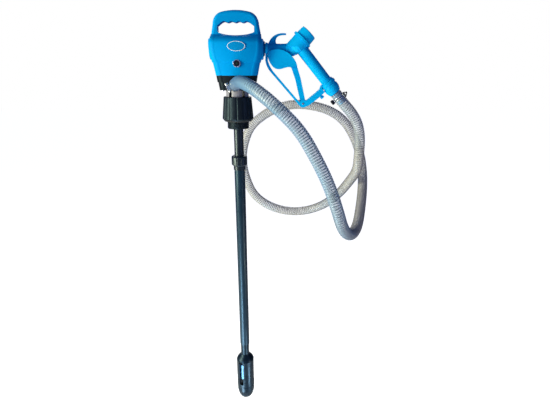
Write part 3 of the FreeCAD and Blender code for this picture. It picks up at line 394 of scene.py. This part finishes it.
# ---- hose -----------------------------------------------------------------------------------------------
def smooth_line(points):
    """Points along the NURBS spline of these control points."""
    curve = bpy.data.curves.new("route", "CURVE")
    curve.dimensions = "3D"
    curve.resolution_u = 12
    spline = curve.splines.new("NURBS")
    spline.points.add(len(points) - 1)
    for point, place in zip(spline.points, points):
        point.co = (*place, 1.0)
    spline.order_u = 3
    spline.use_endpoint_u = True
    holder = bpy.data.objects.new("route", curve)
    bpy.context.scene.collection.objects.link(holder)
    line = bpy.data.meshes.new_from_object(holder)
    found = [v.co.copy() for v in line.vertices]
    bpy.data.objects.remove(holder)
    return found


def even(points, step):
    """The same line in steps of one length."""
    out = [points[0].copy()]
    travelled = 0.0
    for a, b in zip(points, points[1:]):
        run = (b - a).length
        while travelled + run >= step:
            share = (step - travelled) / run
            a = a.lerp(b, share)
            out.append(a.copy())
            run = (b - a).length
            travelled = 0.0
        travelled += run
    if (points[-1] - out[-1]).length > 0.3 * step:
        out.append(points[-1].copy())
    else:
        out[-1] = points[-1].copy()
    return out


def frames(points):
    """Two directions across the line at each point, carried along without twist."""
    tangents = [(points[min(i + 1, len(points) - 1)] - points[max(i - 1, 0)]).normalized()
                for i in range(len(points))]
    side = tangents[0].orthogonal().normalized()
    found = []
    for tangent in tangents:
        side = (side - tangent * side.dot(tangent)).normalized()
        found.append((side.copy(), tangent.cross(side)))
    return found


def circle_points(centre, side, up, radii):
    """Points round a centre, one for each radius in turn."""
    found = []
    for j, radius in enumerate(radii):
        angle = 2 * math.pi * j / len(radii)
        found.append(centre + (side * math.cos(angle) + up * math.sin(angle)) * radius)
    return found


def tube_mesh(name, points, material):
    """The hose's wall. Its skin stands up in a helical ridge over the wire."""
    fine = even(points, WIRE_PITCH / RIDGE_STEPS)
    verts = []
    for i, (point, (side, up)) in enumerate(zip(fine, frames(fine))):
        radii = []
        for j in range(HOSE_SIDES):
            phase = i / RIDGE_STEPS - j / HOSE_SIDES
            radii.append(HOSE_R - HOSE_RIDGE * (0.5 - 0.5 * math.cos(2 * math.pi * phase)))
        verts += circle_points(point, side, up, radii)
    outer = strip_faces(len(fine), HOSE_SIDES)
    shift = len(verts)
    for point, (side, up) in zip(points, frames(points)):
        verts += circle_points(point, side, up, [HOSE_BORE] * HOSE_SIDES)
    inner = [tuple(shift + i for i in reversed(face)) for face in strip_faces(len(points), HOSE_SIDES)]
    ends = []
    for outside, inside in ((0, shift), (shift - HOSE_SIDES, len(verts) - HOSE_SIDES)):
        for j in range(HOSE_SIDES):
            k = (j + 1) % HOSE_SIDES
            face = (outside + j, outside + k, inside + k, inside + j)
            ends.append(face if outside else tuple(reversed(face)))
    return mesh_object(name, verts, outer + inner + ends, material)


def wire_mesh(name, points):
    """The steel wire, wound in the hose's wall."""
    coil_r = (HOSE_R + HOSE_BORE) / 2
    fine = even(points, WIRE_PITCH / WIRE_STEPS)
    across = frames(fine)
    path = []
    for i, (point, (side, up)) in enumerate(zip(fine, across)):
        angle = 2 * math.pi * i / WIRE_STEPS
        path.append(point + (side * math.cos(angle) + up * math.sin(angle)) * coil_r)
    verts = []
    for point, centre, (side, up) in zip(path, fine, across):
        out = (point - centre).normalized()
        along = side.cross(up)
        for j in range(WIRE_SIDES):
            angle = 2 * math.pi * j / WIRE_SIDES
            verts.append(point + (out * math.cos(angle) + along * math.sin(angle)) * WIRE_R)
    return mesh_object(name, verts, strip_faces(len(path), WIRE_SIDES), WIRE)


def make_hose():
    route = even(smooth_line(HOSE_ROUTE), HOSE_STEP)
    cut = max(i for i, p in enumerate(route) if p.z < HOSE_CUT_Z)
    main_line = route[:cut + 1]
    end_line = route[cut:]
    main = tube_mesh("clear_hose_main", main_line, HOSE)
    end = tube_mesh("clear_hose_end", end_line, HOSE)
    main_wire = wire_mesh("hose_wire_main", main_line)
    end_wire = wire_mesh("hose_wire_end", end_line)
    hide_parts("hose_main")
    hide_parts("hose_nozzle_end")
    for piece in (main, main_wire):
        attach(piece, "pump_body")
    for piece in (end, end_wire):
        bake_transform(piece)


make_hose()


# ---- bung thread ----------------------------------------------------------------------------------------
def make_thread():
    """The pipe thread, wound round the collar below the nut."""
    steps = int((THREAD_HIGH - THREAD_LOW) / THREAD_PITCH * THREAD_STEPS)
    rows = [(THREAD_BORE, THREAD_LOW)]
    rows += [(None, THREAD_LOW + (THREAD_HIGH - THREAD_LOW) * i / steps) for i in range(steps + 1)]
    rows += [(RELIEF_R, THREAD_HIGH), (RELIEF_R, RELIEF_HIGH), (NECK_BORE, RELIEF_HIGH),
             (NECK_BORE, NUT_INSIDE_TOP), (THREAD_BORE, NUT_INSIDE_TOP)]
    verts = []
    for radius, z in rows:
        for j in range(THREAD_SIDES):
            angle = 2 * math.pi * j / THREAD_SIDES
            r = radius
            if r is None:
                phase = (z / THREAD_PITCH - j / THREAD_SIDES) % 1.0
                tooth = min(1.0, max(0.0, 1.4 - 2.8 * abs(phase - 0.5)) * 1.3)
                ease = min(1.0, (z - THREAD_LOW + THREAD_CUT) / THREAD_LEAD)
                r = THREAD_ROOT + (THREAD_CREST - THREAD_ROOT) * tooth * ease
            verts.append((r * math.cos(angle), r * math.sin(angle), z))
    faces = strip_faces(len(rows), THREAD_SIDES, closed_loop=True)
    thread = mesh_object("pipe_thread", verts, faces, BLACK)
    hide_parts("bung_thread")
    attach(thread, "bung_adapter")


make_thread()


# ---- badge ----------------------------------------------------------------------------------------------
def make_badge_line():
    """The pale outline round the blank badge, laid on the plate's curved face."""
    low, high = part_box("badge_plate")
    centre = (Vector(low) + Vector(high)) / 2
    plate = NODES["badge_plate"]
    section = [(*BADGE_OUT, 0.0), (*BADGE_OUT, BADGE_LIFT), (*BADGE_IN, BADGE_LIFT), (*BADGE_IN, 0.0)]
    verts = []
    for i in range(BADGE_STEPS):
        angle = 2 * math.pi * i / BADGE_STEPS
        for half_wide, half_high, lift in section:
            x = centre.x + half_wide * math.cos(angle)
            z = centre.z + half_high * math.sin(angle)
            hit, place, _, _ = plate.ray_cast(Vector((x, low[1] - 0.01, z)), Vector((0, 1, 0)))
            y = place.y if hit else low[1]
            verts.append((x, y - lift, z))
    line = mesh_object("badge_outline", verts, strip_faces(BADGE_STEPS, len(section), closed_loop=True),
                       WHITE)
    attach(line, "pump_body")


make_badge_line()


# ---- stage and light ------------------------------------------------------------------------------------
def seen_or_lit(tree, seen, lit):
    """One shader for what the camera sees directly, and another for the light that falls on the pump."""
    path = add(tree, "ShaderNodeLightPath")
    mix = add(tree, "ShaderNodeMixShader")
    tree.links.new(path.outputs["Is Camera Ray"], mix.inputs[0])
    tree.links.new(lit, mix.inputs[1])
    tree.links.new(seen, mix.inputs[2])
    return mix.outputs[0]


def make_stage():
    far = FLOOR_SIZE
    z = cad_low.z - FLOOR_DROP
    corners = [(-far, -far, z), (far, -far, z), (far, far, z), (-far, far, z)]
    material, tree, shader = new_material("floor_white")
    shader.inputs["Base Color"].default_value = (0.85, 0.85, 0.85, 1.0)
    shader.inputs["Roughness"].default_value = 0.9
    shader.inputs["Specular IOR Level"].default_value = 0.0
    glow = add(tree, "ShaderNodeEmission", Color=(1.0, 1.0, 1.0, 1.0), Strength=0.92)
    both = add(tree, "ShaderNodeAddShader")
    tree.links.new(shader.outputs[0], both.inputs[0])
    tree.links.new(glow.outputs[0], both.inputs[1])
    tree.links.new(seen_or_lit(tree, both.outputs[0], shader.outputs[0]),
                   tree.nodes["Material Output"].inputs["Surface"])
    floor = mesh_object("floor", corners, [(0, 1, 2, 3)], material, smooth=False)


def make_light(name, place, target, size, power, colour=(1.0, 1.0, 1.0)):
    data = bpy.data.lights.new(name, "AREA")
    data.shape = "RECTANGLE"
    data.size, data.size_y = size
    data.energy = power
    data.color = colour
    light = bpy.data.objects.new(name, data)
    light.location = place
    light.visible_camera = False
    light.rotation_euler = (Vector(target) - Vector(place)).to_track_quat("-Z", "Y").to_euler()
    bpy.context.scene.collection.objects.link(light)


def make_world():
    """White to the camera. What lights the pump is bluish, and brighter from the lower left front."""
    world = bpy.data.worlds.new("studio")
    world.use_nodes = True
    bpy.context.scene.world = world
    tree = world.node_tree
    seen = tree.nodes["Background"]
    seen.inputs["Color"].default_value = (1.0, 1.0, 1.0, 1.0)
    seen.inputs["Strength"].default_value = 1.0
    place = add(tree, "ShaderNodeTexCoord")
    towards = add(tree, "ShaderNodeVectorMath", operation="DOT_PRODUCT")
    towards.inputs[1].default_value = BRIGHT_SIDE
    tree.links.new(place.outputs["Generated"], towards.inputs[0])
    cast = add(tree, "ShaderNodeBackground", Color=(0.45, 0.53, 1.0, 1.0))
    tree.links.new(spread(tree, towards.outputs["Value"], -0.8, 0.9, 0.06, 0.6), cast.inputs["Strength"])
    tree.links.new(seen_or_lit(tree, seen.outputs[0], cast.outputs[0]),
                   tree.nodes["World Output"].inputs["Surface"])


make_stage()
make_world()
make_light("key", (-1.72, -0.9, -0.1), (0.1, 0, 0.05), (0.8, 1.2), 64.0, (1.0, 1.0, 0.7))
make_light("strip", (-1.2, -1.2, 0.5), (0.15, 0, -0.1), (0.05, 1.5), 4.0)
make_light("fill", (1.7, -1.0, -0.1), (0.1, 0, 0.0), (0.3, 1.4), 3.0, (0.4, 0.5, 1.0))
make_light("back", (0.3, 1.8, 0.9), (0.1, 0, 0), (1.4, 0.8), 14.0)
make_light("low_left", (-0.26, -0.36, -0.955), (0, 0, -0.5), (0.14, 0.6), 5.5, (0.62, 0.84, 1.0))
make_light("low_right", (0.14, -0.13, -0.955), (0, 0, -0.85), (0.04, 0.16), 0.4, (0.62, 0.84, 1.0))
make_light("low_front", (0.75, -0.45, -0.8), (0.32, -0.12, -0.25), (0.3, 0.3), 1.9, (1.0, 0.88, 0.72))

view = bpy.context.scene.view_settings
view.view_transform = "Standard"
view.look = "None"
